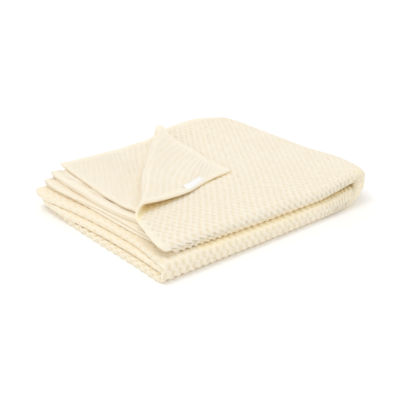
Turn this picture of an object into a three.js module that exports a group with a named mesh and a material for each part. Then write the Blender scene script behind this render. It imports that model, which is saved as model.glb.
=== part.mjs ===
// A knitted crib blanket folded into a flat pack, with one corner of its top layer turned back.
// Millimetres, +Z up. The pack lies on z = 0 with its centre on the Z axis.
// -X is the side with the edges and first folds, +X the last fold, -Y the front rolls, +Y the back.
import * as THREE from 'three';

// The knitted sheet: its thickness, and the distance from one layer to the next in the pack
const THICK = 3.0;
const PITCH = 3.9;
const LAYERS = 12;

// The neat pack: half its length and width, how short the tucked third panel stops in the upper
// and the lower half, and how far in its back fold is
const HALF_LENGTH = 197;
const HALF_WIDTH = 157;
const TUCK = { upper: 48, lower: 10 };
const BACK_IN = 9;

// The last fold is a little longer than a half round, and stays open at its front end
const FOLD_LONG = 1.3;
const FOLD_OPEN = { half: 2.2, reachIn: 120, reachBack: 150 };

// The front rolls are a little fuller than a half round, the first folds are nearly flat outside,
// and the back fold is cut in at its end
const ROLL_POWER = 0.8;
const FIRST_FOLD_POWER = 0.45;
const BACK_NOTCH = { depth: 11, power: 4 };

// The corner that is turned back: its distance to the fold line, the line's angle, the roll at its two ends,
// how far the line bends in at its front, and how steeply the corner comes down from the roll.
// A swell moves the corner by so much, from and over shares of the way to its tip.
const FLAP = {
  depth: 146.7,
  angle: 45.2,
  rollFront: 7,
  rollBack: 12,
  rollReach: 1.7,
  bend: 7,
  bendReach: 0.35,
  gap: 0.7,
  layPowerFront: 2.4,
  layPowerBack: 3.4,
  layReach: 1.1,
  ripple: { by: 2.2, from: 0.6, over: 0.4 },
  bulgeFront: { by: 8, from: 0.22, over: 0.46 },
  bulgeBack: { by: 14, from: 0.1, over: 0.7 },
};

// How the pack settles: taller at the back and in its middle, rounded corners, a front a little bowed
// and askew, and the upper front roll set back from the lower one
const SETTLE = {
  crownFront: 1.02,
  crownBack: 1.21,
  crownPower: 1.6,
  foldSpring: -0.04,
  dome: 0.07,
  domeStart: -0.2,
  domeCentre: 80,
  domeHalf: 190,
  taperRightFront: 26,
  taperPower: 1.5,
  roundRightFront: 14,
  roundRightBack: 26,
  roundRightPower: 6,
  rightStart: 120,
  rightReach: 140,
  lean: 0.34,
  footIn: 0.48,
  footPower: 2,
  cornerIn: 7,
  cornerStart: 70,
  cornerReach: 100,
  cornerPower: 2,
  roundLeft: 18,
  roundLeftPower: 8,
  leftStart: -100,
  leftReach: 90,
  leftBlend: 12,
  bow: 1,
  skew: 5.7,
  frontHalf: 200,
  frontReach: 120,
  step: 6,
  stepAtFold: 40,
  stepReach: 60,
  setBackRight: 7,
  setBackLeft: 12,
  setBackReach: 130,
  setBackRun: 330,
};
// The settling goes on this far past the neat pack's front and back, in half widths
const ALONG_MAX = 1.2;

// The sewn label, on the wrong side of the turned corner
const LABEL = { length: 50, width: 11, thick: 0.9, gap: 1.1, fromCorner: 56.5, fromEdge: 0.6, askew: 5.5 };

const MIDDLE = THICK / 2 + (LAYERS / 2 - 0.5) * PITCH;
const FOLD_X = HALF_LENGTH - (LAYERS / 2) * PITCH * FOLD_LONG;
const FRONT_Y = -HALF_WIDTH + 3 * PITCH;
const BACK_Y = HALF_WIDTH - 2 * PITCH - BACK_IN;

// Where each panel's two edges and its first fold end along X, at even places from front to back
const PANELS = [
  {
    name: 'top',
    upperEdge: [-205, -198, -191, -185, -185, -182, -179.5, -177, -174],
    lowerEdge: [-182, -168, -176, -171, -163],
    firstFold: [-209, -207, -207, -204, -191],
  },
  {
    name: 'bottom',
    upperEdge: [-182, -188.5, -190, -194, -206],
    lowerEdge: [-184, -187, -188, -198, -204],
    firstFold: [-206, -195, -196, -205, -220],
  },
  {
    name: 'tucked',
    upperEdge: [-182, -177, -187, -188, -187],
    lowerEdge: [-181, -176, -186, -187, -186],
    firstFold: [-204, -201, -203, -209, -209],
  },
];

// Usual ends of the upper and lower runs; a panel's own end only moves the part of the run beside it
const RUN_END = { upper: -200, lower: -210 };
const SHIFT_SHARE = 0.35;

// Back edges of the top panel's upper and lower sheet
const BACK_EDGE = { upper: 150, lower: 153 };

// Spaces between layers that open or close as the pack settles. Layers count from 0 at the bottom.
const SPACES = [
  { below: 10, above: 11, side: 'left', open: 0.5, reach: 60 },
  { below: 9, above: 10, side: 'left', open: 1.8, reach: 170 },
  { below: 5, above: 6, side: 'left', open: 0.5, reach: 60 },
  { below: 4, above: 5, side: 'left', open: 1.2, reach: 50 },
  { below: 2, above: 3, side: 'left', open: 0.5, reach: 50 },
  { below: 1, above: 2, side: 'left', open: 0.5, reach: 40 },
  { below: 7, above: 10, side: 'front', open: -5.0, reach: 85 },
  { below: 0, above: 1, side: 'frontLeft', open: 1.0, reach: 150 },
  { below: 2, above: 3, side: 'frontLeft', open: 1.0, reach: 150 },
  { below: 4, above: 5, side: 'frontLeft', open: 1.0, reach: 150 },
  { below: 7, above: 10, side: 'frontLeft', open: -3.0, reach: 120 },
  { below: 10, above: 11, side: 'back', open: 9.0, reach: 75 },
  { below: 0, above: 6, side: 'frontRight', open: 9.0, reach: 130 },
];

const clamp01 = (v) => Math.min(1, Math.max(0, v));
const mix = (a, b, f) => a + (b - a) * f;
const ease = (v) => {
  const c = clamp01(v);
  return c * c * (3 - 2 * c);
};

// Where the sides' own spaces open: how far back the left ones grow, in half widths, where the front
// right ones start before the last fold and how deep they are, and the middle and half length of the back
// ones
const SIDES = { leftGrow: 1.4, rightStart: 100, rightDepth: 150, backCentre: 90, backHalf: 140 };

// How near a place is to one side of the pack: 1 at the side, 0 past its reach
function nearness(side, reach, x, y) {
  const left = ease(1 - (x + HALF_LENGTH) / reach);
  const front = ease(1 - (y + HALF_WIDTH) / reach);
  if (side === 'left') return left * ease((y + HALF_WIDTH) / (SIDES.leftGrow * HALF_WIDTH));
  if (side === 'front') return front;
  if (side === 'frontLeft') return left * front;
  if (side === 'frontRight') {
    return ease((x - FOLD_X + SIDES.rightStart) / reach) * ease(1 - (y + HALF_WIDTH) / SIDES.rightDepth);
  }
  return ease(1 - (HALF_WIDTH - y) / reach) * ease(1 - Math.abs(x - SIDES.backCentre) / SIDES.backHalf);
}

// The settled place of a point of the neat stack, raised by how far the last fold stays open below it
function settle(x, y, level, opened) {
  let z = level + opened;
  for (const space of SPACES) {
    const start = space.below * PITCH + THICK;
    const end = space.above * PITCH;
    const share = clamp01((level - start) / (end - start));
    z += space.open * share * nearness(space.side, space.reach, x, y);
  }
  const blend = mix(SETTLE.step, SETTLE.stepAtFold, ease(1 - (FOLD_X - x) / SETTLE.stepReach));
  const upper = ease(0.5 + (level - MIDDLE) / blend);
  const front = ease(1 - (y + HALF_WIDTH) / SETTLE.setBackReach);
  const towardLeft = ease((FOLD_X - x) / SETTLE.setBackRun);
  const setBack = upper * front * mix(SETTLE.setBackRight, SETTLE.setBackLeft, towardLeft);
  const toEnd = x / SETTLE.frontHalf;
  const frontLine = SETTLE.skew * toEnd + SETTLE.bow * (1 - toEnd ** 2);
  const bow = frontLine * ease(1 - (y + HALF_WIDTH) / SETTLE.frontReach);

  const along = y / HALF_WIDTH;
  const backShare = clamp01((along + 1) / 2) ** SETTLE.crownPower;
  const foldSide = ease((x - FOLD_X + SETTLE.rightStart) / SETTLE.rightReach);
  const domeBack = ease((along - SETTLE.domeStart) / (1 - SETTLE.domeStart));
  const dome = SETTLE.dome * domeBack * ease(1 - Math.abs(x - SETTLE.domeCentre) / SETTLE.domeHalf);
  const crown = mix(SETTLE.crownFront, SETTLE.crownBack, backShare) + SETTLE.foldSpring * foldSide + dome;

  const heightShare = level / (LAYERS * PITCH);
  const foot = clamp01(1 - 2 * heightShare) ** SETTLE.footPower;
  const leaning = 1 - SETTLE.lean * clamp01(2 * heightShare - 1) + SETTLE.footIn * foot;
  const roundRight = along < 0 ? SETTLE.roundRightFront : SETTLE.roundRightBack;
  const taper = SETTLE.taperRightFront * Math.min(ALONG_MAX, Math.max(0, -along)) ** SETTLE.taperPower;
  const recedeRight = foldSide * (taper + roundRight * along ** SETTLE.roundRightPower) * leaning;
  const lower = clamp01(1 - (level - MIDDLE) / SETTLE.leftBlend);
  const leftSide = ease((SETTLE.leftStart - x) / SETTLE.leftReach) * lower;
  const toBack = Math.min(ALONG_MAX, Math.max(0, along));
  const recedeLeft = leftSide * SETTLE.roundLeft * toBack ** SETTLE.roundLeftPower;
  const corner = clamp01((x - FOLD_X + SETTLE.cornerStart) / SETTLE.cornerReach) ** SETTLE.cornerPower;
  const cornerIn = SETTLE.cornerIn * foot * corner * front;
  return new THREE.Vector3(x - recedeRight + recedeLeft, y + setBack - bow + cornerIn, z * crown);
}

// The track runs along the sheet: edge, upper run, last fold, lower run, first fold, and back to the other
// edge
const TRACK = {
  upperRun: 0,
  lastFold: 1,
  lowerRun: 2,
  firstFold: 3,
  lowerBack: 4,
  lastFoldBack: 5,
  upperBack: 6,
  end: 7,
};
// The cross runs over the sheet: top panel, front fold, bottom panel, back fold, tucked panel
const CROSS = { top: 0, frontFold: 1, bottom: 2, backFold: 3, tucked: 4, end: 5 };

// Smooth value at a share of the way along a line of evenly placed values
function lineValue(values, share) {
  const last = values.length - 1;
  const line = [2 * values[0] - values[1], ...values, 2 * values[last] - values[last - 1]];
  const place = clamp01(share) * last;
  const i = Math.min(last - 1, Math.floor(place));
  const t = place - i;
  const [a, b, c, d] = line.slice(i, i + 4);
  return b + 0.5 * t * (c - a + t * (2 * a - 5 * b + 4 * c - d + t * (3 * (b - c) + d - a)));
}

// Place along X of an edge or first fold, by panel and by how far back it is
function panelEnd(cross, y, key) {
  const part = Math.min(CROSS.tucked, Math.floor(cross));
  const f = ease(cross - part);
  const share = (y + HALF_WIDTH) / (2 * HALF_WIDTH);
  const [top, bottom, tucked] = PANELS.map((p) => lineValue(p[key], share));
  if (part === CROSS.top) return top;
  if (part === CROSS.frontFold) return mix(top, bottom, f);
  if (part === CROSS.bottom) return bottom;
  if (part === CROSS.backFold) {
    const offMiddle = Math.abs(2 * (cross - CROSS.backFold) - 1);
    const notch = BACK_NOTCH.depth * (1 - offMiddle ** BACK_NOTCH.power);
    return mix(bottom, tucked, f) + (key === 'firstFold' ? 0 : notch);
  }
  return tucked;
}

// Place along X on a run, at a share of the way from its end to the last fold
function runPlace(end, usualEnd, share) {
  return mix(usualEnd, FOLD_X, share) + (end - usualEnd) * clamp01(1 - share / SHIFT_SHARE);
}

// Place of a sheet point in the neat stack. lift is the distance from the sheet's middle, toward its
// right side.
function stacked(track, cross, lift) {
  const run = Math.min(TRACK.upperBack, Math.floor(track));
  const f = track - run;
  const half = PITCH / 2 + lift;
  let side = half;
  let bulge = 0;
  if (run === TRACK.firstFold) {
    side = half * Math.cos(Math.PI * f);
    bulge = half * Math.abs(Math.sin(Math.PI * f)) ** FIRST_FOLD_POWER;
  } else if (run > TRACK.firstFold) {
    side = -half;
  }

  let inLower = run < TRACK.lastFold || run > TRACK.lastFoldBack ? 0 : 1;
  if (run === TRACK.lastFold) inLower = ease(f);
  if (run === TRACK.lastFoldBack) inLower = ease(1 - f);

  const part = Math.min(CROSS.tucked, Math.floor(cross));
  const h = cross - part;
  const outer = 2 * PITCH + side;
  const inner = PITCH + side;
  let y;
  let depth;
  if (part === CROSS.top) {
    const back = run < TRACK.firstFold ? BACK_EDGE.upper : BACK_EDGE.lower;
    const edge = run === TRACK.firstFold ? mix(BACK_EDGE.upper, BACK_EDGE.lower, f) : back;
    y = mix(edge, FRONT_Y, h);
    depth = 3 * PITCH + outer;
  } else if (part === CROSS.frontFold) {
    y = FRONT_Y - outer * Math.sin(Math.PI * h) ** ROLL_POWER;
    depth = 3 * PITCH + outer * Math.cos(Math.PI * h);
  } else if (part === CROSS.bottom) {
    y = mix(FRONT_Y, BACK_Y, h);
    depth = 3 * PITCH - outer;
  } else if (part === CROSS.backFold) {
    y = BACK_Y + inner * Math.sin(Math.PI * h);
    depth = 2 * PITCH - inner * Math.cos(Math.PI * h);
  } else {
    y = mix(BACK_Y, -HALF_WIDTH + mix(TUCK.upper, TUCK.lower, inLower), h);
    depth = 2 * PITCH + inner;
  }

  const fold = panelEnd(cross, y, 'firstFold');
  const edgeX = panelEnd(cross, y, run < TRACK.firstFold ? 'upperEdge' : 'lowerEdge');
  const openHalf = FOLD_OPEN.half * ease(1 - (y + HALF_WIDTH) / FOLD_OPEN.reachBack);
  let x;
  let level = MIDDLE - depth;
  let upperShare = 0;
  if (run === TRACK.upperRun || run === TRACK.upperBack) {
    x = runPlace(edgeX, RUN_END.upper, run === TRACK.upperRun ? f : 1 - f);
    level = MIDDLE + depth;
    upperShare = 1;
  } else if (run === TRACK.lastFold || run === TRACK.lastFoldBack) {
    const turn = Math.PI * (run === TRACK.lastFold ? f : 1 - f);
    x = FOLD_X + (FOLD_LONG * depth + openHalf) * Math.sin(turn);
    level = MIDDLE + depth * Math.cos(turn);
    upperShare = (1 + Math.cos(turn)) / 2;
  } else if (run === TRACK.firstFold) {
    x = fold - bulge;
  } else {
    x = runPlace(fold, RUN_END.lower, run === TRACK.lowerRun ? 1 - f : f);
  }
  const opened = 2 * openHalf * ease(1 - (FOLD_X - x) / FOLD_OPEN.reachIn) * upperShare;
  return { x, y, level, opened };
}

// The diagonal fold of the turned corner, in plan
const CORNER = { x: PANELS[0].upperEdge.at(-1), y: BACK_EDGE.upper };
const ANGLE = (FLAP.angle * Math.PI) / 180;
const OUT = { x: -Math.sin(ANGLE), y: Math.cos(ANGLE) };
const TOP_LEVEL = MIDDLE + 5.5 * PITCH;

// Where a point of the top sheet is from the diagonal fold: its distance beyond it, and how far back along it
function fromFold(x, y) {
  const along = ((x - CORNER.x) * OUT.y - (y - CORNER.y) * OUT.x) / (2 * FLAP.depth);
  const backShare = clamp01(0.5 + along);
  const bend = FLAP.bend * (1 - ease(backShare / FLAP.bendReach));
  const beyond = FLAP.depth + bend + (x - CORNER.x) * OUT.x + (y - CORNER.y) * OUT.y;
  const roll = mix(FLAP.rollFront, FLAP.rollBack, ease(backShare * FLAP.rollReach));
  const past = beyond - Math.PI * roll;
  const share = clamp01(past / (FLAP.depth - Math.PI * roll));
  return { beyond, backShare, roll, past, share };
}

function swell({ by, from, over }, share) {
  return by * Math.sin(Math.PI * clamp01((share - from) / over)) ** 2;
}

// Turned place of a point of the top sheet that lies beyond the diagonal fold
function turned(x, y, lift, { beyond, backShare, roll, past, share }) {
  const turn = beyond / roll;
  const rest = THICK + FLAP.gap;
  let out = (roll - lift) * Math.sin(turn);
  let rise = roll - (roll - lift) * Math.cos(turn);
  if (turn >= Math.PI) {
    const power = mix(FLAP.layPowerFront, FLAP.layPowerBack, ease(backShare * FLAP.rollReach));
    const lay = rest + (2 * roll - rest) * (1 - clamp01(share * FLAP.layReach)) ** power;
    const ripple = swell(FLAP.ripple, share) * (1 - backShare);
    out = -past;
    rise = Math.max(lay + ripple, rest) - lift;
  }
  const footX = x + OUT.x * (out - beyond) + swell(FLAP.bulgeBack, share) * backShare ** 2;
  const footY = y + OUT.y * (out - beyond) - swell(FLAP.bulgeFront, share) * (1 - backShare) ** 2;
  const at = settle(footX, footY, TOP_LEVEL, 0);
  at.z += rise;
  return at;
}

function sheetPoint(track, cross, lift) {
  const p = stacked(track, cross, lift);
  if (track < TRACK.lastFold && cross < CROSS.frontFold) {
    const place = fromFold(p.x, p.y);
    if (place.beyond > 0) return turned(p.x, p.y, lift, place);
  }
  return settle(p.x, p.y, p.level, p.opened);
}

// Stations along and across the sheet
const even = (n) => Array.from({ length: n }, (_, i) => i / n);
const UPPER_PLACES = [-182, -155, -118, -72, -15, 45, 108];
const LOWER_PLACES = [-195, -172, -140, -90, -30, 35, 105];
const CROSS_PLACES = [122, 84, 36, -15, -60, -90, -118];
const LAST_FOLD_STEPS = 8;
const FIRST_FOLD_STEPS = 5;
const FRONT_FOLD_STEPS = 6;
const BACK_FOLD_STEPS = 5;

function runStations(run, from, to, places) {
  const inside = places.filter((v) => (v - from) * (v - to) < 0);
  inside.sort((a, b) => (a - b) * Math.sign(to - from));
  return [0, ...inside.map((v) => (v - from) / (to - from))].map((f) => run + f);
}

const tracks = [
  ...runStations(TRACK.upperRun, RUN_END.upper, FOLD_X, UPPER_PLACES),
  ...even(LAST_FOLD_STEPS).map((f) => TRACK.lastFold + f),
  ...runStations(TRACK.lowerRun, FOLD_X, RUN_END.lower, LOWER_PLACES),
  ...even(FIRST_FOLD_STEPS).map((f) => TRACK.firstFold + f),
  ...runStations(TRACK.lowerBack, RUN_END.lower, FOLD_X, LOWER_PLACES),
  ...even(LAST_FOLD_STEPS).map((f) => TRACK.lastFoldBack + f),
  ...runStations(TRACK.upperBack, FOLD_X, RUN_END.upper, UPPER_PLACES),
  TRACK.end,
];
const crosses = [
  ...runStations(CROSS.top, BACK_EDGE.upper, FRONT_Y, CROSS_PLACES),
  ...even(FRONT_FOLD_STEPS).map((f) => CROSS.frontFold + f),
  ...runStations(CROSS.bottom, FRONT_Y, BACK_Y, CROSS_PLACES),
  ...even(BACK_FOLD_STEPS).map((f) => CROSS.backFold + f),
  ...runStations(CROSS.tucked, BACK_Y, -HALF_WIDTH + TUCK.upper, CROSS_PLACES),
  CROSS.end,
];

// Cells of the sheet, cut along lines beside the diagonal fold so that its roll is smooth.
// A line is a turn of the roll, or past it a share of the way to the corner.
const ROLL_STEPS = 7;
const PAST_SHARES = [0.12, 0.28, 0.45, 0.6, 0.78];
const cutLines = [
  ...even(ROLL_STEPS).map((f) => f * Math.PI),
  ...[0, ...PAST_SHARES].map((share) => Math.PI + share),
];

function bendOf(point) {
  const p = stacked(point[0], point[1], 0);
  const { beyond, roll, past, share } = fromFold(p.x, p.y);
  return past > 0 ? Math.PI + share : beyond / roll;
}

// The point between two others where the sheet reaches a cut line, the same from either side
const HALVINGS = 40;
const CLOSE = 1e-6;

function crossing(a, b, line) {
  const [p, q] = a[0] + a[1] * 10 < b[0] + b[1] * 10 ? [a, b] : [b, a];
  const rising = bendOf(q) > bendOf(p);
  let low = 0;
  let high = 1;
  for (let step = 0; step < HALVINGS; step += 1) {
    const f = (low + high) / 2;
    const reached = bendOf([mix(p[0], q[0], f), mix(p[1], q[1], f)]) > line;
    if (reached === rising) high = f;
    else low = f;
  }
  return [mix(p[0], q[0], low), mix(p[1], q[1], low)];
}

function cutCell(cell, line) {
  const near = [];
  const far = [];
  cell.forEach((point, i) => {
    const next = cell[(i + 1) % cell.length];
    const d = bendOf(point) - line;
    const e = bendOf(next) - line;
    if (d <= CLOSE) near.push(point);
    if (d >= -CLOSE) far.push(point);
    if ((d < -CLOSE && e > CLOSE) || (d > CLOSE && e < -CLOSE)) {
      const cut = crossing(point, next, line);
      near.push(cut);
      far.push(cut);
    }
  });
  return [near, far].filter((c) => c.length > 2);
}

function sheetCells() {
  const cells = [];
  for (let i = 0; i + 1 < tracks.length; i += 1) {
    for (let j = 0; j + 1 < crosses.length; j += 1) {
      const [a, b] = [tracks[i], tracks[i + 1]];
      const [c, d] = [crosses[j], crosses[j + 1]];
      let pieces = [[[a, c], [b, c], [b, d], [a, d]]];
      if (b <= TRACK.lastFold && d <= CROSS.frontFold) {
        for (const line of cutLines) pieces = pieces.flatMap((cell) => cutCell(cell, line));
      }
      cells.push(...pieces);
    }
  }
  return cells;
}

// Closes two faces of a piece of sheet, and the walls round its edge, into one body
function closedSheet(cells, place, liftUp, liftDown) {
  const index = new Map();
  const points = [];
  const id = (point) => {
    const key = `${point[0].toFixed(5)} ${point[1].toFixed(5)}`;
    if (!index.has(key)) {
      index.set(key, points.length);
      points.push(point);
    }
    return index.get(key);
  };
  const faces = cells.map((cell) => cell.map(id).filter((v, i, all) => v !== all[(i + 1) % all.length]));
  const edges = new Map();
  const triangles = [];
  const offset = points.length;
  for (const face of faces) {
    for (let k = 1; k + 1 < face.length; k += 1) {
      triangles.push([face[0], face[k], face[k + 1]]);
      triangles.push([face[0] + offset, face[k + 1] + offset, face[k] + offset]);
    }
    face.forEach((v, k) => {
      const w = face[(k + 1) % face.length];
      if (edges.has(`${w} ${v}`)) edges.delete(`${w} ${v}`);
      else edges.set(`${v} ${w}`, [v, w]);
    });
  }
  for (const [v, w] of edges.values()) {
    triangles.push([w, v, v + offset]);
    triangles.push([w, v + offset, w + offset]);
  }
  const places = [
    ...points.map((p) => place(p[0], p[1], liftUp)),
    ...points.map((p) => place(p[0], p[1], liftDown)),
  ];
  return { places, triangles };
}

function geometryOf({ places, triangles }) {
  let volume = 0;
  for (const [a, b, c] of triangles) {
    volume += places[a].dot(new THREE.Vector3().crossVectors(places[b], places[c])) / 6;
  }
  const order = volume > 0 ? triangles : triangles.map(([a, b, c]) => [a, c, b]);
  const geometry = new THREE.BufferGeometry();
  geometry.setAttribute('position', new THREE.Float32BufferAttribute(places.flatMap((p) => p.toArray()), 3));
  geometry.setIndex(order.flat());
  return geometry;
}

// The label's own grid on the sheet, at true distances from the edge and from the corner
const LABEL_STEPS = { along: 6, over: 2 };

function labelCells() {
  const width = BACK_EDGE.upper - FRONT_Y;
  const { along, over } = LABEL_STEPS;
  const point = (k, m) => {
    const cross = (LABEL.fromCorner + (LABEL.length * k) / along) / width;
    const end = panelEnd(cross, mix(BACK_EDGE.upper, FRONT_Y, cross), 'upperEdge');
    const run = FOLD_X - RUN_END.upper - (end - RUN_END.upper) / SHIFT_SHARE;
    const fromEdge = LABEL.fromEdge + LABEL.askew * (1 - k / along);
    return [(fromEdge + (LABEL.width * m) / over) / run, cross];
  };
  const cells = [];
  for (let k = 0; k < along; k += 1) {
    for (let m = 0; m < over; m += 1) {
      cells.push([point(k, m), point(k, m + 1), point(k + 1, m + 1), point(k + 1, m)]);
    }
  }
  return cells;
}

const knit = new THREE.MeshStandardMaterial({ color: 0xf5ead2, roughness: 0.95, metalness: 0 });
const tape = new THREE.MeshStandardMaterial({ color: 0xf4f3ef, roughness: 0.8, metalness: 0 });

const blanketGeometry = geometryOf(closedSheet(sheetCells(), sheetPoint, THICK / 2, -THICK / 2));
const labelNear = -THICK / 2 - LABEL.gap;
const labelGeometry = geometryOf(closedSheet(labelCells(), sheetPoint, labelNear, labelNear - LABEL.thick));

// The pack's centre goes over the origin, and its underside on z = 0
blanketGeometry.computeBoundingBox();
const { min, max } = blanketGeometry.boundingBox;
const blanket = new THREE.Mesh(blanketGeometry, knit);
blanket.name = 'blanket';
const label = new THREE.Mesh(labelGeometry, tape);
label.name = 'label';
const pack = new THREE.Group();
pack.position.set(-(min.x + max.x) / 2, -(min.y + max.y) / 2, -min.z);
pack.add(blanket, label);

const part = new THREE.Group();
part.add(pack);

export default part;
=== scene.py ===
# A knitted crib blanket folded into a flat pack, with one corner of its top layer turned back.
# Sizes are in millimetres until a mesh is made; the meshes are in metres, in the row's frame.
import math

import bpy
import numpy as np
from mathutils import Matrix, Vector


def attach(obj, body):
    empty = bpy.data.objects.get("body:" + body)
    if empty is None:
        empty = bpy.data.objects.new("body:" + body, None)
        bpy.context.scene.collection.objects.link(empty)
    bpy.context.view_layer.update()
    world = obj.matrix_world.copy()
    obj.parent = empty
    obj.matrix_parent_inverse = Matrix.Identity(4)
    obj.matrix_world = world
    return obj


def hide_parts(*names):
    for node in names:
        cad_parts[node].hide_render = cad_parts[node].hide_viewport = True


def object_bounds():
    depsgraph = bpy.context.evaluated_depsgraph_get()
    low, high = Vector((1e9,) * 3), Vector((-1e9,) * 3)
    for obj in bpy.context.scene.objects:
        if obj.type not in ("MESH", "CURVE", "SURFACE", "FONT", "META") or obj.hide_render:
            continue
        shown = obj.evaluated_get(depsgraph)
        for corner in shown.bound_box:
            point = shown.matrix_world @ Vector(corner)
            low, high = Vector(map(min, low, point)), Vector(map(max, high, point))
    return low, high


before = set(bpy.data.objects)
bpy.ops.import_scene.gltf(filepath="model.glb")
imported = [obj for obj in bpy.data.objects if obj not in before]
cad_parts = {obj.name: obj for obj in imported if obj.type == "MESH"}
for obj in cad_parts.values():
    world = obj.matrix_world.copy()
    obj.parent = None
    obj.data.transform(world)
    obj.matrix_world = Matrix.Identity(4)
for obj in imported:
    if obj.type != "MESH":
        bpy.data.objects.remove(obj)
CAD_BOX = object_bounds()

MM = 0.001

# The sheet and the pack, as in the solids: thickness, distance from layer to layer, half length and width,
# how short the tucked panel stops in the upper and lower half, and how far in its back fold is
THICK = 3.0
PITCH = 3.9
LAYERS = 12
HALF_LENGTH = 197.0
HALF_WIDTH = 157.0
TUCK_UPPER = 48.0
TUCK_LOWER = 10.0
BACK_IN = 9.0

# The last fold is longer than a half round and open at its front end, the front rolls are fuller than a
# half round, the first folds are nearly flat outside, and the back fold is cut in at its end
FOLD_LONG = 1.3
FOLD_OPEN = {"half": 2.2, "reach_in": 120.0, "reach_back": 150.0}
ROLL_POWER = 0.8
FIRST_FOLD_POWER = 0.45
BACK_NOTCH = {"depth": 11.0, "power": 4}

MIDDLE = THICK / 2 + (LAYERS / 2 - 0.5) * PITCH
FOLD_X = HALF_LENGTH - LAYERS / 2 * PITCH * FOLD_LONG
FRONT_Y = -HALF_WIDTH + 3 * PITCH
BACK_Y = HALF_WIDTH - 2 * PITCH - BACK_IN
TOP_LEVEL = MIDDLE + 5.5 * PITCH

# Usual ends of the upper and lower runs, of which a panel's own end moves a share, and the back edges
RUN_END = {"upper": -200.0, "lower": -210.0}
SHIFT_SHARE = 0.35
BACK_EDGE = {"upper": 150.0, "lower": 153.0}

# The corner that is turned back: its distance to the fold line, the line's angle, the roll at its two ends,
# how far the line bends in at its front, and how steeply the corner comes down from the roll.
# A swell moves the corner by so much, from and over shares of the way to its tip.
FLAP = {
    "depth": 146.7,
    "angle": 45.2,
    "roll_front": 7.0,
    "roll_back": 12.0,
    "roll_reach": 1.7,
    "bend": 7.0,
    "bend_reach": 0.35,
    "gap": 0.7,
    "power_front": 2.4,
    "power_back": 3.4,
    "lay_reach": 1.1,
    "ripple": {"by": 2.2, "start": 0.6, "over": 0.4},
    "bulge_front": {"by": 8.0, "start": 0.22, "over": 0.46},
    "bulge_back": {"by": 14.0, "start": 0.1, "over": 0.7},
}

# Soft creases of the sheet under the turned corner: distance from the diagonal fold, width and rise
SOFT_CREASES = [
    (20.0, 7.0, 1.3),
    (47.0, 9.0, 0.9),
]

# How the pack settles: taller at the back and in its middle, rounded corners, a front a little bowed
# and askew, and the upper front roll set back from the lower one
SETTLE = {
    "crown_front": 1.02,
    "crown_back": 1.21,
    "crown_power": 1.6,
    "fold_spring": -0.04,
    "dome": 0.07,
    "dome_start": -0.2,
    "dome_centre": 80.0,
    "dome_half": 190.0,
    "taper_right_front": 26.0,
    "taper_power": 1.5,
    "round_right_front": 14.0,
    "round_right_back": 26.0,
    "round_right_power": 6,
    "right_start": 120.0,
    "right_reach": 140.0,
    "lean": 0.34,
    "foot_in": 0.48,
    "foot_power": 2,
    "corner_in": 7.0,
    "corner_start": 70.0,
    "corner_reach": 100.0,
    "corner_power": 2,
    "round_left": 18.0,
    "round_left_power": 8,
    "left_start": -100.0,
    "left_reach": 90.0,
    "left_blend": 12.0,
    "bow": 1.0,
    "skew": 5.7,
    "front_half": 200.0,
    "front_reach": 120.0,
    "step": 6.0,
    "step_at_fold": 40.0,
    "step_reach": 60.0,
    "set_back_right": 7.0,
    "set_back_left": 12.0,
    "set_back_reach": 130.0,
    "set_back_run": 330.0,
}
# The settling goes on this far past the neat pack's front and back, in half widths
ALONG_MAX = 1.2

# Where the sides' own spaces open: how far back the left ones grow, in half widths, where the front right
# ones start before the last fold and how deep they are, and the middle and half length of the back ones
SIDES = {
    "left_grow": 1.4,
    "right_start": 100.0,
    "right_depth": 150.0,
    "back_centre": 90.0,
    "back_half": 140.0,
}

# Where each panel's two edges and its first fold end along X, at even places from front to back
PANELS = {
    "top": {
        "upper": [-205, -198, -191, -185, -185, -182, -179.5, -177, -174],
        "lower": [-182, -168, -176, -171, -163],
        "fold": [-209, -207, -207, -204, -191],
    },
    "bottom": {
        "upper": [-182, -188.5, -190, -194, -206],
        "lower": [-184, -187, -188, -198, -204],
        "fold": [-206, -195, -196, -205, -220],
    },
    "tucked": {
        "upper": [-182, -177, -187, -188, -187],
        "lower": [-181, -176, -186, -187, -186],
        "fold": [-204, -201, -203, -209, -209],
    },
}

# Spaces between layers that open or close: layer below, layer above, side, opening and reach
SPACES = [
    (10, 11, "left", 0.5, 60),
    (9, 10, "left", 1.8, 170),
    (5, 6, "left", 0.5, 60),
    (4, 5, "left", 1.2, 50),
    (2, 3, "left", 0.5, 50),
    (1, 2, "left", 0.5, 40),
    (7, 10, "front", -5.0, 85),
    (0, 1, "front_left", 1.0, 150),
    (2, 3, "front_left", 1.0, 150),
    (4, 5, "front_left", 1.0, 150),
    (7, 10, "front_left", -3.0, 120),
    (10, 11, "back", 9.0, 75),
    (0, 6, "front_right", 9.0, 130),
]

# Flat lengths of the sheet's parts, along the track and over the cross, and the numbers of the last run and
# last part
TRACK_LENGTHS = [365.0, 80.0, 376.0, 10.0, 376.0, 80.0, 365.0]
CROSS_LENGTHS = [295.0, 30.0, 286.0, 14.0, 249.0]
LAST_RUN = len(TRACK_LENGTHS) - 1
LAST_PART = len(CROSS_LENGTHS) - 1

# The honeycomb stitch: the size of a cell, where its hollow starts in the wave and how soon it is full,
# and the faces' distance from the sheet's middle with their hollows and ridges
CELL_U = 10.8
CELL_V = 15.4
HOLLOW_START = 0.1
HOLLOW_RANGE = 0.65
FACE = 1.68
RIGHT_HOLLOW = 2.4
RIGHT_RIDGE = 0.25
WRONG_HOLLOW = 1.9
WRONG_RIDGE = 0.2
# Share of the painted shade in the wrong face's hollows, against the right face's
WRONG_SHADE = 0.8

# The cells are pressed flatter from the front crease inward, more so on the first folds, but not beside
# the sheet's edge: the shares, and where each starts and how soon it is full, in track and cross
PRESSED = {
    "share": 0.35,
    "fold_share": 0.75,
    "cross": 1.6,
    "cross_over": 0.3,
    "edge": 0.02,
    "fold": 2.8,
    "fold_over": 0.1,
}
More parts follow.
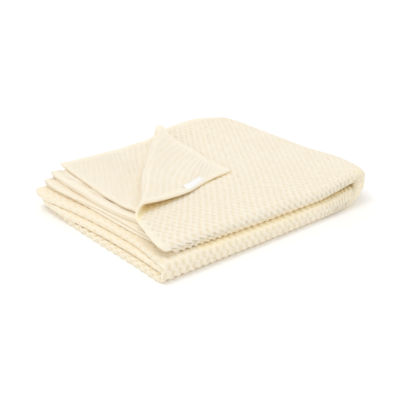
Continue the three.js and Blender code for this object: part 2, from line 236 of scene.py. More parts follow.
# On the nose, where the front roll goes round the last fold, they are flatter too and warm shade is painted
# on:
# the shares, and where both start and end in track and cross
NOSE = {
    "flatter": 0.6,
    "painted_shade": 0.3,
    "start": 0.9,
    "end": 2.1,
    "over": 0.15,
    "cross": 0.9,
    "cross_end": 2.1,
    "cross_over": 0.3,
}

# The plain band along the sheet's edges, and the least share of the thickness at the edge itself
HEM_BAND = 8.0
HEM_BLEND = 3.0
HEM_SWELL = 0.2
HEM_TONE_IN = 2.0
EDGE_LEAST = 0.25

# Painted warm shade on the covered faces: where it starts from the turned corner's edge and how soon it is
# full,
# the same for the two halves of the front crease, in track and cross, and a weaker painted shade on the first
# folds:
# it is full up to half its reach from their middle
GAP_START = -4.0
GAP_BLEND = 8.0
CREASE_SHARE = 0.7
CREASE_END = 2.1
UPPER_CREASE = {"first": 0.12, "last": 2.0, "start": 1.72, "over": 0.16}
LOWER_CREASE = {"first": 2.0, "last": 2.85, "start": 1.6, "over": 0.4}
FIRST_FOLD_PAINTED_SHADE = {"share": 0.16, "track": 3.5, "full": 0.5, "reach": 1.2}

# The sewn label: its rim is thinner than its middle
LABEL = {
    "length": 50.0,
    "width": 11.0,
    "thick": 0.7,
    "lift": 0.25,
    "from_corner": 56.5,
    "from_edge": 0.6,
    "askew": 5.5,
    "rim": 1.6,
    "rim_share": 0.45,
    "steps_along": 36,
    "steps_over": 10,
}


def ease(v):
    c = np.clip(v, 0, 1)
    return c * c * (3 - 2 * c)


def mix(a, b, f):
    return a + (b - a) * f


def nearness(side, reach, x, y):
    """How near a place is to one side of the pack: 1 at the side, 0 past its reach."""
    left = ease(1 - (x + HALF_LENGTH) / reach)
    front = ease(1 - (y + HALF_WIDTH) / reach)
    if side == "left":
        return left * ease((y + HALF_WIDTH) / (SIDES["left_grow"] * HALF_WIDTH))
    if side == "front":
        return front
    if side == "front_left":
        return left * front
    if side == "front_right":
        start = FOLD_X - SIDES["right_start"]
        return ease((x - start) / reach) * ease(1 - (y + HALF_WIDTH) / SIDES["right_depth"])
    back_middle = ease(1 - np.abs(x - SIDES["back_centre"]) / SIDES["back_half"])
    return ease(1 - (HALF_WIDTH - y) / reach) * back_middle


def settle(x, y, level, opened=0.0):
    """Settled place of points of the neat stack, raised by how far the last fold stays open below them."""
    z = level + opened
    for below, above, side, opening, reach in SPACES:
        start = below * PITCH + THICK
        end = above * PITCH
        z = z + opening * np.clip((level - start) / (end - start), 0, 1) * nearness(side, reach, x, y)
    from_front = y + HALF_WIDTH
    at_fold = ease(1 - (FOLD_X - x) / SETTLE["step_reach"])
    blend = mix(SETTLE["step"], SETTLE["step_at_fold"], at_fold)
    upper = ease(0.5 + (level - MIDDLE) / blend)
    front = ease(1 - from_front / SETTLE["set_back_reach"])
    toward_left = ease((FOLD_X - x) / SETTLE["set_back_run"])
    set_back = upper * front * mix(SETTLE["set_back_right"], SETTLE["set_back_left"], toward_left)
    to_end = x / SETTLE["front_half"]
    front_line = SETTLE["skew"] * to_end + SETTLE["bow"] * (1 - to_end**2)
    bow = front_line * ease(1 - from_front / SETTLE["front_reach"])

    along = y / HALF_WIDTH
    back_share = np.clip((along + 1) / 2, 0, 1) ** SETTLE["crown_power"]
    fold_side = ease((x - FOLD_X + SETTLE["right_start"]) / SETTLE["right_reach"])
    dome_back = ease((along - SETTLE["dome_start"]) / (1 - SETTLE["dome_start"]))
    dome = SETTLE["dome"] * dome_back * ease(1 - np.abs(x - SETTLE["dome_centre"]) / SETTLE["dome_half"])
    crown = mix(SETTLE["crown_front"], SETTLE["crown_back"], back_share)
    crown = crown + SETTLE["fold_spring"] * fold_side + dome

    height_share = level / (LAYERS * PITCH)
    foot = np.clip(1 - 2 * height_share, 0, 1) ** SETTLE["foot_power"]
    leaning = 1 - SETTLE["lean"] * np.clip(2 * height_share - 1, 0, 1) + SETTLE["foot_in"] * foot
    taper = SETTLE["taper_right_front"] * np.clip(-along, 0, ALONG_MAX) ** SETTLE["taper_power"]
    round_right = np.where(along < 0, SETTLE["round_right_front"], SETTLE["round_right_back"])
    recede_right = fold_side * (taper + round_right * along ** SETTLE["round_right_power"]) * leaning
    lower = np.clip(1 - (level - MIDDLE) / SETTLE["left_blend"], 0, 1)
    left_side = ease((SETTLE["left_start"] - x) / SETTLE["left_reach"]) * lower
    to_back = np.clip(along, 0, ALONG_MAX)
    recede_left = left_side * SETTLE["round_left"] * to_back ** SETTLE["round_left_power"]
    corner = np.clip((x - FOLD_X + SETTLE["corner_start"]) / SETTLE["corner_reach"], 0, 1)
    corner_in = SETTLE["corner_in"] * corner ** SETTLE["corner_power"] * front * foot
    return np.stack([x - recede_right + recede_left, y + set_back - bow + corner_in, z * crown], -1)


def line_value(values, share):
    """Smooth value at a share of the way along a line of evenly placed values."""
    ends = [2 * values[0] - values[1]] + values + [2 * values[-1] - values[-2]]
    line = np.array(ends, float)
    place = np.clip(share, 0, 1) * (len(values) - 1)
    i = np.minimum(np.floor(place), len(values) - 2).astype(int)
    t = place - i
    a, b, c, d = line[i], line[i + 1], line[i + 2], line[i + 3]
    return b + 0.5 * t * (c - a + t * (2 * a - 5 * b + 4 * c - d + t * (3 * (b - c) + d - a)))


def panel_end(cross, y, key):
    """Place along X of an edge or first fold, by panel and by how far back it is."""
    part = np.minimum(LAST_PART, np.floor(cross))
    f = ease(cross - part)
    share = (y + HALF_WIDTH) / (2 * HALF_WIDTH)
    top, bottom, tucked = (line_value(panel[key], share) for panel in PANELS.values())
    off_middle = np.abs(2 * np.clip(cross - 3, 0, 1) - 1)
    notch = 0 if key == "fold" else BACK_NOTCH["depth"] * (1 - off_middle ** BACK_NOTCH["power"])
    places = [top, mix(top, bottom, f), bottom, mix(bottom, tucked, f) + notch]
    return np.select([part == 0, part == 1, part == 2, part == 3], places, tucked)


def run_place(end, usual_end, share):
    """Place along X on a run, at a share of the way from its end to the last fold."""
    return mix(usual_end, FOLD_X, share) + (end - usual_end) * np.clip(1 - share / SHIFT_SHARE, 0, 1)


def stacked(track, cross, lift):
    """Place of sheet points in the neat stack, and how far the last fold's opening raises them.

    The track runs along the sheet, a whole number to each run: upper run 0, last fold 1, lower run 2,
    first fold 3, and back by 4, 5 and 6 to the other edge. The cross runs over it: top panel 0, front fold 1,
    bottom panel 2, back fold 3 and tucked panel 4. lift is the distance toward the sheet's right side.
    """
    run = np.minimum(LAST_RUN, np.floor(track))
    f = track - run
    half = PITCH / 2 + lift
    side = np.where(run < 3, half, np.where(run > 3, -half, half * np.cos(np.pi * f)))
    bulge = np.where(run == 3, half * np.abs(np.sin(np.pi * f)) ** FIRST_FOLD_POWER, 0)

    part = np.minimum(LAST_PART, np.floor(cross))
    h = cross - part
    outer = 2 * PITCH + side
    inner = PITCH + side
    turning = mix(BACK_EDGE["upper"], BACK_EDGE["lower"], f)
    edge = np.where(run < 3, BACK_EDGE["upper"], np.where(run > 3, BACK_EDGE["lower"], turning))
    parts = [part == 0, part == 1, part == 2, part == 3]
    in_lower = np.select([run == 1, run == 5, (run > 1) & (run < 5)], [ease(f), ease(1 - f), 1.0], 0.0)
    tuck_y = -HALF_WIDTH + mix(TUCK_UPPER, TUCK_LOWER, in_lower)
    y = np.select(
        parts,
        [
            mix(edge, FRONT_Y, h),
            FRONT_Y - outer * np.sin(np.pi * h) ** ROLL_POWER,
            mix(FRONT_Y, BACK_Y, h),
            BACK_Y + inner * np.sin(np.pi * h),
        ],
        mix(BACK_Y, tuck_y, h),
    )
    depth = np.select(
        parts,
        [
            3 * PITCH + outer,
            3 * PITCH + outer * np.cos(np.pi * h),
            3 * PITCH - outer,
            2 * PITCH - inner * np.cos(np.pi * h),
        ],
        2 * PITCH + inner,
    )

    fold = panel_end(cross, y, "fold")
    edge_x = np.where(run < 3, panel_end(cross, y, "upper"), panel_end(cross, y, "lower"))
    turn = np.pi * np.where(run == 1, f, 1 - f)
    in_fold = (run == 1) | (run == 5)
    open_half = FOLD_OPEN["half"] * ease(1 - (y + HALF_WIDTH) / FOLD_OPEN["reach_back"])
    x = np.select(
        [run == 0, run == 6, in_fold, run == 2, run == 4],
        [
            run_place(edge_x, RUN_END["upper"], f),
            run_place(edge_x, RUN_END["upper"], 1 - f),
            FOLD_X + (FOLD_LONG * depth + open_half) * np.sin(turn),
            run_place(fold, RUN_END["lower"], 1 - f),
            run_place(fold, RUN_END["lower"], f),
        ],
        fold - bulge,
    )
    level = np.select(
        [(run == 0) | (run == 6), in_fold],
        [MIDDLE + depth, MIDDLE + depth * np.cos(turn)],
        MIDDLE - depth,
    )
    upper_share = np.select([(run == 0) | (run == 6), in_fold], [1.0, (1 + np.cos(turn)) / 2], 0.0)
    near_fold = ease(1 - (FOLD_X - x) / FOLD_OPEN["reach_in"])
    return x, y, level, 2 * open_half * near_fold * upper_share


# The corner before it is turned, and the direction from the diagonal fold to it, in plan
CORNER = (PANELS["top"]["upper"][-1], BACK_EDGE["upper"])
OUT = (-math.sin(math.radians(FLAP["angle"])), math.cos(math.radians(FLAP["angle"])))


def from_fold(x, y):
    """Distance beyond the diagonal fold, how far back along it, and its roll there."""
    along = ((x - CORNER[0]) * OUT[1] - (y - CORNER[1]) * OUT[0]) / (2 * FLAP["depth"])
    back_share = np.clip(0.5 + along, 0, 1)
    bend = FLAP["bend"] * (1 - ease(back_share / FLAP["bend_reach"]))
    beyond = FLAP["depth"] + bend + (x - CORNER[0]) * OUT[0] + (y - CORNER[1]) * OUT[1]
    roll = mix(FLAP["roll_front"], FLAP["roll_back"], ease(back_share * FLAP["roll_reach"]))
    return beyond, back_share, roll


def swell(kind, share):
    part = np.clip((share - FLAP[kind]["start"]) / FLAP[kind]["over"], 0, 1)
    return FLAP[kind]["by"] * np.sin(np.pi * part) ** 2


def turned(x, y, lift):
    """Turned place of points of the top sheet that lie beyond the diagonal fold."""
    beyond, back_share, roll = from_fold(x, y)
    turn = beyond / roll
    past = beyond - np.pi * roll
    share = np.clip(past / (FLAP["depth"] - np.pi * roll), 0, 1)
    rest = THICK + FLAP["gap"]
    power = mix(FLAP["power_front"], FLAP["power_back"], ease(back_share * FLAP["roll_reach"]))
    lay = rest + (2 * roll - rest) * (1 - np.clip(share * FLAP["lay_reach"], 0, 1)) ** power
    lay = np.maximum(lay + swell("ripple", share) * (1 - back_share), rest)
    rolling = turn < np.pi
    out = np.where(rolling, (roll - lift) * np.sin(turn), -past)
    rise = np.where(rolling, roll - (roll - lift) * np.cos(turn), lay - lift)
    foot_x = x + OUT[0] * (out - beyond) + swell("bulge_back", share) * back_share**2
    foot_y = y + OUT[1] * (out - beyond) - swell("bulge_front", share) * (1 - back_share) ** 2
    at = settle(foot_x, foot_y, np.full_like(x, TOP_LEVEL))
    at[..., 2] += rise
    return at


def pack_points(track, cross, lift):
    """Settled places of points of the sheet, in millimetres in the pack's own frame."""
    x, y, level, opened = stacked(track, cross, lift)
    at = settle(x, y, level, opened)
    beyond, _, _ = from_fold(x, y)
    flap = (track < 1) & (cross < 1) & (beyond > 0)
    if flap.any():
        at[flap] = turned(x[flap], y[flap], lift[flap])
    below_flap = (track > 6) & (cross < 1)
    for distance, width, rise in SOFT_CREASES:
        at[below_flap, 2] += rise * np.exp(-(((beyond[below_flap] - distance) / width) ** 2))
    at[..., 2] = np.maximum(at[..., 2], 0)
    return at


# Steps of the outer face on which the pack's far sides are looked up
CENTRE_STEPS = {"track": 140, "cross": 100}


def pack_centre():
    """The row's origin in the pack's frame: its last fold and back edge are the far sides of the CAD box."""
    tracks = np.linspace(0, len(TRACK_LENGTHS), CENTRE_STEPS["track"] + 1)
    crosses = np.linspace(0, len(CROSS_LENGTHS), CENTRE_STEPS["cross"] + 1)
    track, cross = np.meshgrid(tracks, crosses)
    outside = pack_points(track.ravel(), cross.ravel(), np.full(track.size, THICK / 2))
    return np.append(outside[:, :2].max(0) - np.array(CAD_BOX[1][:2]) / MM, 0)


PACK_CENTRE = pack_centre()


def sheet_points(track, cross, lift):
    """Settled places in metres, in the row's frame, of points of the sheet."""
    return (pack_points(track, cross, lift) - PACK_CENTRE) * MM


def flat_place(param, lengths):
    """Distance along the flat sheet, in millimetres, of a track or cross value."""
    return np.interp(param, np.arange(len(lengths) + 1), np.concatenate([[0], np.cumsum(lengths)]))


SHEET_U = sum(TRACK_LENGTHS)
SHEET_V = sum(CROSS_LENGTHS)


def edge_distance(u, v):
    return np.minimum(np.minimum(u, SHEET_U - u), np.minimum(v, SHEET_V - v))


def hollow_of(u, v):
    """How deep in a honeycomb cell a place is: 1 in its middle, 0 on the ridges between cells."""
    wave = np.cos(2 * np.pi * u / CELL_U) * np.cos(2 * np.pi * v / CELL_V)
    return ease((wave - HOLLOW_START) / HOLLOW_RANGE) * ease((edge_distance(u, v) - HEM_BAND) / HEM_BLEND)


def on_nose(track, cross):
    """1 where the front roll goes round the last fold, 0 elsewhere."""
    along = ease((track - NOSE["start"]) / NOSE["over"]) * ease((NOSE["end"] - track) / NOSE["over"])
    return along * ease((cross - NOSE["cross"]) / NOSE["cross_over"]) * (cross < NOSE["cross_end"])


def cell_depth(track, cross):
    """How deep the cells stay: less from the front crease inward and on the nose of the last fold."""
    inward = ease((cross - PRESSED["cross"]) / PRESSED["cross_over"])
    off_edge = ease((track - PRESSED["edge"]) / PRESSED["edge"])
    to_fold = ease((track - PRESSED["fold"]) / PRESSED["fold_over"])
    flatter = mix(PRESSED["share"], PRESSED["fold_share"], to_fold) * inward * off_edge
    return 1 - np.maximum(flatter, NOSE["flatter"] * on_nose(track, cross))


def face_lift(u, v, hollow, depth_share, face):
    """Distance of a face from the sheet's middle, with its stitches and its rounded edge."""
    deep, ridge = (RIGHT_HOLLOW, RIGHT_RIDGE) if face > 0 else (WRONG_HOLLOW, WRONG_RIDGE)
    inside = ease((edge_distance(u, v) - HEM_BAND) / HEM_BLEND)
    height = FACE + ridge * inside + HEM_SWELL * (1 - inside) - deep * hollow * depth_share
    edge = np.clip(edge_distance(u, v) / (THICK / 2), 0, 1)
    return face * height * mix(EDGE_LEAST, 1, np.sqrt(1 - (1 - edge) ** 2))


def under_corner(track, cross, face, u, v):
    """Where warm shade is painted: 1 on faces that the turned corner covers, 0 in the open."""
    x, y, _, _ = stacked(track, cross, np.zeros_like(track))
    beyond, _, roll = from_fold(x, y)
    above_x = x - OUT[0] * (2 * beyond - np.pi * roll)
    above_y = y - OUT[1] * (2 * beyond - np.pi * roll)
    from_left_edge = above_x - panel_end(np.zeros_like(y), above_y, "upper")
    from_hem = np.minimum(from_left_edge, BACK_EDGE["upper"] - above_y)
    lower = (beyond < 0) * ease((from_hem - GAP_START) / GAP_BLEND)
    upper = (beyond > 0) * ease((edge_distance(u, v) - GAP_START) / GAP_BLEND)
    return np.where((face > 0) & (track < 1) & (cross < 1), lower + upper, 0)


def in_crease(track, cross, face):
    """Where warm shade is painted: 1 on the faces inside the front crease, 0 in the open."""
    inside = np.zeros_like(track)
    for half in (UPPER_CREASE, LOWER_CREASE):
        along = (track > half["first"]) * (track < half["last"])
        inside += along * ease((cross - half["start"]) / half["over"])
    return np.where((face > 0) & (cross < CREASE_END), inside, 0)


def on_first_fold(track):
    """Where a weaker warm shade is painted: 1 on the first folds and the sheet beside them, 0 farther in."""
    away = np.abs(track - FIRST_FOLD_PAINTED_SHADE["track"]) / FIRST_FOLD_PAINTED_SHADE["reach"]
    return ease(1 + FIRST_FOLD_PAINTED_SHADE["full"] - away)


def spread(pieces):
    """Stations from a short table of (start, end, number of steps), the last end included."""
    stations = [np.linspace(a, b, n, endpoint=False) for a, b, n in pieces]
    return np.concatenate(stations + [[pieces[-1][1]]])


# Stations of the two faces, in columns along the track and blocks over the cross:
# fine where a face shows, sparse inside the pack, with the rounded edge's width in millimetres
ROUNDED = 1.6
EDGE_U = ROUNDED / TRACK_LENGTHS[0]
EDGE_V = ROUNDED / CROSS_LENGTHS[0]
EDGE_END = ROUNDED / CROSS_LENGTHS[4]

TUCKED_PIECES = [(3, 4, 8), (4, 5 - EDGE_END, 20), (5 - EDGE_END, 5, 3)]
HIDDEN_CROSSES = spread([(2.1, 3, 20), *TUCKED_PIECES])
PLAIN_CROSSES = spread([(0, EDGE_V, 3), (EDGE_V, 1, 30), (1, 2, 10), (2, 3, 20), *TUCKED_PIECES])
PLAIN_LATER_CROSSES = spread([(1.02, 2, 10), (2, 3, 20), *TUCKED_PIECES])
FLAP_CROSSES = spread([(0, EDGE_V, 3), (EDGE_V, 1, 86)])

RIGHT_COLUMNS = [
    [
        (spread([(0, EDGE_U, 3), (EDGE_U, 1, 180), (1, 1.99, 36)]),
         spread([(0, EDGE_V, 3), (EDGE_V, 1, 140), (1, 2, 16), (2, 2.08, 5)])),
        (spread([(0, EDGE_U, 3), (EDGE_U, 0.05, 5), (0.05, 1, 24), (1, 1.99, 14)]), HIDDEN_CROSSES),
    ],
    [
        (spread([(2, 2.9, 50)]), spread([(0, EDGE_V, 3), (EDGE_V, 0.86, 60)])),
        (spread([(2, 2.9, 165)]), spread([(0.87, 1, 18), (1, 2, 16), (2, 2.06, 4)])),
        (spread([(2, 2.9, 24)]), HIDDEN_CROSSES),
    ],
    [
        (spread([(2.905, 3, 18), (3, 4, 12), (4, 4.06, 11)]),
         spread([(0, EDGE_V, 3), (EDGE_V, 1, 122), (1, 2, 16), (2, 3, 110), (3, 4, 8),
                 (4, 5 - EDGE_END, 90), (5 - EDGE_END, 5, 3)])),
    ],
    [
        (spread([(4.07, 5, 16), (5, 6, 12), (6, 6.96, 16), (6.96, 7 - EDGE_U, 5), (7 - EDGE_U, 7, 3)]),
         PLAIN_CROSSES),
    ],
]
WRONG_COLUMNS = [
    [
        (spread([(0, EDGE_U, 3), (EDGE_U, 0.62, 86)]), FLAP_CROSSES),
        (spread([(0, EDGE_U, 3), (EDGE_U, 0.62, 16)]), PLAIN_LATER_CROSSES),
    ],
    [
        (spread([(0.63, 1, 10), (1, 2, 12), (2, 3, 22), (3, 4, 7), (4, 5, 22), (5, 6, 12), (6, 6.4, 10)]),
         PLAIN_CROSSES),
    ],
    [
        (spread([(6.41, 7 - EDGE_U, 80), (7 - EDGE_U, 7, 3)]), FLAP_CROSSES),
        (spread([(6.41, 7 - EDGE_U, 16), (7 - EDGE_U, 7, 3)]), PLAIN_LATER_CROSSES),
    ],
]


def grid_quads(ids):
    """The four-sided faces of a grid of point numbers."""
    return np.stack([ids[:-1, :-1], ids[1:, :-1], ids[1:, 1:], ids[:-1, 1:]], -1).reshape(-1, 4)


class SheetMesh:
    """Collects the points and faces of one closed sheet."""

    def __init__(self):
        self.params = []
        self.faces = []
        self.count = 0

    def grid(self, tracks, crosses, face):
        """Adds a grid of one face, and gives its point numbers."""
        track, cross = np.meshgrid(tracks, crosses, indexing="ij")
        ids = np.arange(track.size).reshape(track.shape) + self.count
        self.count += track.size
        self.params.append(np.stack([track.ravel(), cross.ravel(), np.full(track.size, face)], -1))
        quads = grid_quads(ids)
        self.faces += (quads if face > 0 else quads[:, ::-1]).tolist()
        return ids

    def zip_lines(self, a, a_places, b, b_places, flip=False):
        """Joins two lines of points, each with its rising places, by one row of triangles."""
        i, j = 0, 0
        while i + 1 < len(a) or j + 1 < len(b):
            if j + 1 == len(b) or (i + 1 < len(a) and a_places[i + 1] <= b_places[j + 1]):
                face = [a[i], a[i + 1], b[j]]
                i += 1
            else:
                face = [a[i], b[j + 1], b[j]]
                j += 1
            self.faces.append([int(v) for v in (face[::-1] if flip else face)])


def add_face(mesh, columns, face):
    """Adds one face of the sheet, and gives the lines of points on its four edges with their places."""
    flip = face < 0
    made = [[mesh.grid(tracks, crosses, face) for tracks, crosses in blocks] for blocks in columns]
    for blocks, grids in zip(columns, made):
        for k in range(len(blocks) - 1):
            mesh.zip_lines(grids[k][:, -1], blocks[k][0], grids[k + 1][:, 0], blocks[k + 1][0], flip)
    side_places = [np.concatenate([crosses for _, crosses in blocks]) for blocks in columns]
    for k in range(len(columns) - 1):
        last = np.concatenate([grid[-1] for grid in made[k]])
        first = np.concatenate([grid[0] for grid in made[k + 1]])
        mesh.zip_lines(last, side_places[k], first, side_places[k + 1], not flip)
    back_places = np.concatenate([blocks[0][0] for blocks in columns])
    tuck_places = np.concatenate([blocks[-1][0] for blocks in columns])
    return {
        "start": (np.concatenate([grid[0] for grid in made[0]]), side_places[0]),
        "end": (np.concatenate([grid[-1] for grid in made[-1]]), side_places[-1]),
        "back": (np.concatenate([grids[0][:, 0] for grids in made]), back_places),
        "tuck": (np.concatenate([grids[-1][:, -1] for grids in made]), tuck_places),
    }


def mesh_object(name, places, faces, uv):
    """A smooth object from places in metres, with each point's place on the flat sheet as its UV."""
    data = bpy.data.meshes.new(name)
    data.from_pydata(places.tolist(), [], faces)
    data.polygons.foreach_set("use_smooth", np.ones(len(data.polygons), bool))
    corner = np.empty(len(data.loops), np.int32)
    data.loops.foreach_get("vertex_index", corner)
    layer = data.uv_layers.new(name="sheet")
    layer.data.foreach_set("uv", (uv * MM)[corner].ravel().astype("f4"))
    made = bpy.data.objects.new(name, data)
    bpy.context.collection.objects.link(made)
    if signed_volume(data) < 0:
        data.flip_normals()
    return made


def signed_volume(data):
    data.calc_loop_triangles()
    corners = np.empty(len(data.loop_triangles) * 3, np.int32)
    data.loop_triangles.foreach_get("vertices", corners)
    places = np.empty(len(data.vertices) * 3, np.float32)
    data.vertices.foreach_get("co", places)
    a, b, c = places.reshape(-1, 3)[corners.reshape(-1, 3)].transpose(1, 0, 2).astype(float)
    return float(np.einsum("ij,ij->i", a, np.cross(b, c)).sum() / 6)


def point_values(data, name, values):
    attribute = data.attributes.new(name, "FLOAT", "POINT")
    attribute.data.foreach_set("value", values.astype("f4"))


def sheet_object(name):
    mesh = SheetMesh()
    right = add_face(mesh, RIGHT_COLUMNS, 1)
    wrong = add_face(mesh, WRONG_COLUMNS, -1)
    for edge, flip in (("start", False), ("end", True), ("back", True), ("tuck", False)):
        mesh.zip_lines(*right[edge], *wrong[edge], flip)

    track, cross, face = np.concatenate(mesh.params).T
    u = flat_place(track, TRACK_LENGTHS)
    v = flat_place(cross, CROSS_LENGTHS)
    hollow = hollow_of(u, v)
    deep = cell_depth(track, cross)
    lift = np.where(face > 0, face_lift(u, v, hollow, deep, 1), face_lift(u, v, hollow, deep, -1))
    places = sheet_points(track, cross, lift)

    made = mesh_object(name, places, mesh.faces, np.stack([u, v], -1))
    # Painted warm shade under the turned corner, in the front crease, on the first folds and on the nose,
    # kept in the gap attribute
    painted_warm_shade = under_corner(track, cross, face, u, v) + CREASE_SHARE * in_crease(track, cross, face)
    painted_warm_shade = np.maximum(painted_warm_shade, FIRST_FOLD_PAINTED_SHADE["share"] * on_first_fold(track))
    painted_warm_shade = np.maximum(painted_warm_shade, NOSE["painted_shade"] * on_nose(track, cross))
    inside_hem = ease((edge_distance(u, v) - HEM_BAND + HEM_TONE_IN) / HEM_BLEND)
    # Painted shade in the cells' hollows, weaker on the wrong face
    point_values(made.data, "hollow", hollow * np.where(face > 0, 1, WRONG_SHADE))
    point_values(made.data, "gap", painted_warm_shade)
    point_values(made.data, "hem", 1 - inside_hem)
    return made


blanket = sheet_object("blanket_knit")


def label_point(share_length, share_width, lift):
    """Place on the wrong side of the turned corner, at true distances from its edge and corner."""
    width = BACK_EDGE["upper"] - FRONT_Y
    cross = (LABEL["from_corner"] + LABEL["length"] * share_length) / width
    end = panel_end(cross, mix(BACK_EDGE["upper"], FRONT_Y, cross), "upper")
    run = FOLD_X - RUN_END["upper"] - (end - RUN_END["upper"]) / SHIFT_SHARE
    from_edge = LABEL["from_edge"] + LABEL["askew"] * (1 - share_length)
    track = (from_edge + LABEL["width"] * share_width) / run
    return sheet_points(track, cross, -THICK / 2 - lift)


def label_object(name):
    along = np.linspace(0, 1, LABEL["steps_along"] + 1)
    over = np.linspace(0, 1, LABEL["steps_over"] + 1)
    s, w = np.meshgrid(along, over, indexing="ij")
    rim = np.minimum(np.minimum(s, 1 - s) * LABEL["length"], np.minimum(w, 1 - w) * LABEL["width"])
    fullness = mix(LABEL["rim_share"], 1, ease(rim / LABEL["rim"]))
    top = label_point(s, w, LABEL["lift"] + LABEL["thick"] * fullness)
    under = label_point(s, w, np.full_like(s, LABEL["lift"]))
    places = np.concatenate([top.reshape(-1, 3), under.reshape(-1, 3)])
    ids = np.arange(s.size).reshape(s.shape)
    quads = grid_quads(ids)
    faces = quads.tolist() + (quads[:, ::-1] + s.size).tolist()
    ring = np.concatenate([ids[:, 0], ids[-1, 1:], ids[-2::-1, -1], ids[0, -2:0:-1]])
    for a, b in zip(ring, np.roll(ring, -1)):
        faces.append([int(b), int(a), int(a + s.size), int(b + s.size)])
    uv = np.stack([s * LABEL["length"], w * LABEL["width"]], -1).reshape(-1, 2)
    return mesh_object(name, places, faces, np.concatenate([uv, uv]))


label = label_object("label_tape")


class Nodes:
    """Short way to add and link shader nodes."""

    def __init__(self, name):
        self.material = bpy.data.materials.new(name)
        self.material.use_nodes = True
        self.tree = self.material.node_tree
        self.shader = self.tree.nodes["Principled BSDF"]

    def add(self, kind, **values):
        node = self.tree.nodes.new(kind)
        for key, value in values.items():
            setattr(node, key, value)
        return node

    def link(self, source, target):
        self.tree.links.new(source, target)

    def math(self, operation, a, b=0.0):
        node = self.add("ShaderNodeMath", operation=operation)
        for socket, value in zip(node.inputs, (a, b)):
            if isinstance(value, (int, float)):
                socket.default_value = value
            else:
                self.link(value, socket)
        return node.outputs[0]

    def wave(self, operation, source, length):
        """A sine or cosine over a place in metres, with its wave length in millimetres."""
        return self.math(operation, self.math("MULTIPLY", source, 2 * math.pi / (length * MM)))

    def surface(self, values):
        for name, value in values.items():
            self.shader.inputs[name].default_value = value

    def bump(self, height, strength, distance):
        """A bump on the whole surface, with its distance in millimetres."""
        node = self.add("ShaderNodeBump")
        node.inputs["Strength"].default_value = strength
        node.inputs["Distance"].default_value = distance * MM
        self.link(height, node.inputs["Height"])
        self.link(node.outputs["Normal"], self.shader.inputs["Normal"])

    def sheet_place(self):
        """The two sockets of a point's place on the flat sheet, in metres."""
        uv = self.add("ShaderNodeUVMap", uv_map="sheet")
        apart = self.add("ShaderNodeSeparateXYZ")
        self.link(uv.outputs["UV"], apart.inputs[0])
        return apart.outputs[0], apart.outputs[1]

    def noise(self, scale, detail):
        node = self.add("ShaderNodeTexNoise")
        node.inputs["Scale"].default_value = scale
        node.inputs["Detail"].default_value = detail
        place = self.add("ShaderNodeTexCoord")
        self.link(place.outputs["Object"], node.inputs["Vector"])
        return node.outputs["Fac"]

    def point_value(self, name):
        return self.add("ShaderNodeAttribute", attribute_name=name).outputs["Fac"]

    def colour_mix(self, factor, a, b):
        node = self.add("ShaderNodeMix", data_type="RGBA")
        self.link(factor, node.inputs["Factor"])
        for socket, value in ((node.inputs[6], a), (node.inputs[7], b)):
            if isinstance(value, tuple):
                socket.default_value = (*value, 1.0)
            else:
                self.link(value, socket)
        return node.outputs[2]


# The knit's colours on its ridges, in its hollows and its uneven dye (the hollows' colour is painted shade),
# along its edges, and on covered faces as painted warm shade
KNIT_LIGHT = (0.935, 0.866, 0.735)
KNIT_DYE_AND_HOLLOW_SHADE = (0.87, 0.7, 0.4)
KNIT_HEM = (0.94, 0.855, 0.68)
KNIT_PAINTED_WARM_SHADE = (0.995, 0.87, 0.55)

# The single yarn stitches: their width and height, and how far their two legs slant
YARN = {"wale": 2.2, "course": 1.9, "slant": 1.1}
# Shares of the yarns' legs, their grooves and loose fibres in the bump, and its height in millimetres
YARN_BUMP = {"leg": 0.4, "groove": 0.35, "fuzz": 0.8, "strength": 0.55, "height": 0.4}
# Shares of the painted shade in the hollows, an uneven dye and the yarns' legs in the deep colour, and of the
# edge's own colour
KNIT_SHARE = {"hollow": 0.36, "uneven": 0.22, "leg": -0.05, "hem": 0.6}
# Scale and detail of the loose fibres and of the uneven dye
FUZZ_NOISE = (900, 3)
DYE_NOISE = (26, 4)
KNIT_SURFACE = {"Roughness": 0.93, "Specular IOR Level": 0.2, "Sheen Weight": 0.25, "Sheen Roughness": 0.6}


def knit_material():
    n = Nodes("cream_knit")
    along, over = n.sheet_place()
    wale = n.math("MULTIPLY", over, 1 / (YARN["wale"] * MM))
    course = n.math("MULTIPLY", along, 1 / (YARN["course"] * MM))
    across = n.math("PINGPONG", wale, 0.5)
    phase = n.math("ADD", course, n.math("MULTIPLY", across, YARN["slant"]))
    leg = n.math("SINE", n.math("MULTIPLY", phase, 2 * math.pi))
    groove = n.math("COSINE", n.math("MULTIPLY", wale, 2 * math.pi))
    fuzz = n.noise(*FUZZ_NOISE)
    height = n.math("MULTIPLY", leg, YARN_BUMP["leg"])
    height = n.math("ADD", height, n.math("MULTIPLY", groove, YARN_BUMP["groove"]))
    height = n.math("ADD", height, n.math("MULTIPLY", fuzz, YARN_BUMP["fuzz"]))
    n.bump(height, YARN_BUMP["strength"], YARN_BUMP["height"])

    uneven = n.noise(*DYE_NOISE)
    # Painted shade in the cells' hollows, with the uneven dye and the yarns' legs, toward the deep colour
    depth = n.math("MULTIPLY", n.point_value("hollow"), KNIT_SHARE["hollow"])
    depth = n.math("ADD", depth, n.math("MULTIPLY", uneven, KNIT_SHARE["uneven"]))
    depth = n.math("ADD", depth, n.math("MULTIPLY", leg, KNIT_SHARE["leg"]))
    colour = n.colour_mix(depth, KNIT_LIGHT, KNIT_DYE_AND_HOLLOW_SHADE)
    hem = n.math("MULTIPLY", n.point_value("hem"), KNIT_SHARE["hem"])
    colour = n.colour_mix(hem, colour, KNIT_HEM)
    # Painted warm shade on the faces under the turned corner, in the front crease, on the first folds and on
    # the nose
    colour = n.colour_mix(n.point_value("gap"), colour, KNIT_PAINTED_WARM_SHADE)
    n.link(colour, n.shader.inputs["Base Color"])
    n.surface(KNIT_SURFACE)
    return n.material


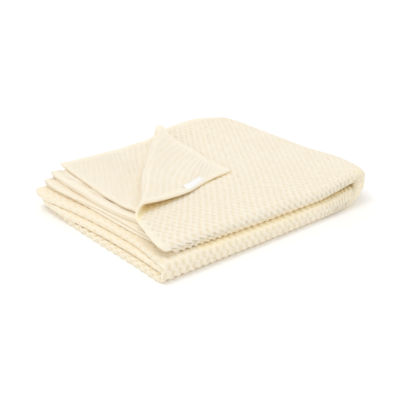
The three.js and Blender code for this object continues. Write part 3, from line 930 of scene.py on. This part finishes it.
# The label's tape: the lengths of its weave, and its colours on the raised and the sunk threads, the sunk
# ones darker as painted shade
TAPE_WARP = 0.9
TAPE_WEFT = 0.7
TAPE_LIGHT = (0.97, 0.965, 0.95)
TAPE_DEEP = (0.91, 0.905, 0.89)
TAPE_BUMP = {"strength": 0.4, "distance": 0.2}
TAPE_SHADE = {"middle": 0.5, "by": 0.25}
TAPE_SURFACE = {"Roughness": 0.6, "Sheen Weight": 0.15}


def tape_material():
    n = Nodes("white_tape")
    along, over = n.sheet_place()
    weave = n.math("MULTIPLY", n.wave("SINE", along, TAPE_WARP), n.wave("SINE", over, TAPE_WEFT))
    n.bump(weave, **TAPE_BUMP)
    shade = n.math("ADD", n.math("MULTIPLY", weave, TAPE_SHADE["by"]), TAPE_SHADE["middle"])
    colour = n.colour_mix(shade, TAPE_LIGHT, TAPE_DEEP)
    n.link(colour, n.shader.inputs["Base Color"])
    n.surface(TAPE_SURFACE)
    return n.material


blanket.data.materials.append(knit_material())
label.data.materials.append(tape_material())
for piece, node, slot in ((blanket, "blanket", "knit"), (label, "label", "tape")):
    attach(piece, "root")
    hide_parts(node)

# Floor and light, in metres
FLOOR_HALF = 6.0
FLOOR_SURFACE = {"Base Color": (0.97, 0.97, 0.97, 1), "Roughness": 0.9}


def floor_object():
    data = bpy.data.meshes.new("floor")
    h = FLOOR_HALF
    data.from_pydata([(-h, -h, 0), (h, -h, 0), (h, h, 0), (-h, h, 0)], [], [(0, 1, 2, 3)])
    made = bpy.data.objects.new("floor", data)
    bpy.context.collection.objects.link(made)
    n = Nodes("pale_floor")
    n.surface(FLOOR_SURFACE)
    data.materials.append(n.material)
    return made


floor_object()


# Each soft light: its place, the place that it looks at, its size and its power in watts
LIGHTS = {
    "key": ((-0.6, 0.2, 2.2), (0, 0, 0), 1.2, 13.0),
    "fill": ((-1.9, -1.0, 0.8), (0, 0, 0), 0.8, 4.5),
    "side": ((1.6, -1.5, 0.4), (0.1, -0.1, 0), 0.8, 2.6),
    "far_floor": ((1.9, 2.2, 1.4), (1.9, 2.2, 0), 3.0, 14.0),
}
ROOM_LIGHT = 0.8
# Light goes back and forth many times in the narrow gaps of a pale cloth
BOUNCES = 16
DIFFUSE_BOUNCES = 12


def area_light(name, place, aim, size, power):
    data = bpy.data.lights.new(name, "AREA")
    data.energy = power
    data.size = size
    made = bpy.data.objects.new(name, data)
    made.location = place
    made.rotation_euler = (Vector(aim) - Vector(place)).to_track_quat("-Z", "Y").to_euler()
    bpy.context.collection.objects.link(made)


for light, (place, aim, size, power) in LIGHTS.items():
    area_light(light, place, aim, size, power)

world = bpy.data.worlds.new("studio")
world.use_nodes = True
world.node_tree.nodes["Background"].inputs["Color"].default_value = (1, 1, 1, 1)
world.node_tree.nodes["Background"].inputs["Strength"].default_value = ROOM_LIGHT
scene = bpy.context.scene
scene.world = world
scene.view_settings.view_transform = "Standard"
scene.cycles.max_bounces = BOUNCES
scene.cycles.diffuse_bounces = DIFFUSE_BOUNCES

# The photo's camera: frame and focal length in pixels, angles in degrees, aim and distance in millimetres
PHOTO_PIXELS = 400
FOCAL_PIXELS = 700.0
ELEVATION = 23.9
AZIMUTH = -41.1
AIM = (-18.0, 7.0, 0.0)
DISTANCE = 1040.0


def photo_camera():
    data = bpy.data.cameras.new("photo")
    data.sensor_width = 36
    data.lens = FOCAL_PIXELS / PHOTO_PIXELS * data.sensor_width
    made = bpy.data.objects.new("photo", data)
    bpy.context.collection.objects.link(made)
    a = math.radians(AZIMUTH)
    e = math.radians(ELEVATION)
    back = Vector((math.sin(a) * math.cos(e), -math.cos(a) * math.cos(e), math.sin(e)))
    aim = Vector(AIM - PACK_CENTRE)
    made.location = (aim + back * DISTANCE) * MM
    made.rotation_euler = (-back).to_track_quat("-Z", "Y").to_euler()
    return made


scene.camera = photo_camera()

bpy.context.view_layer.update()
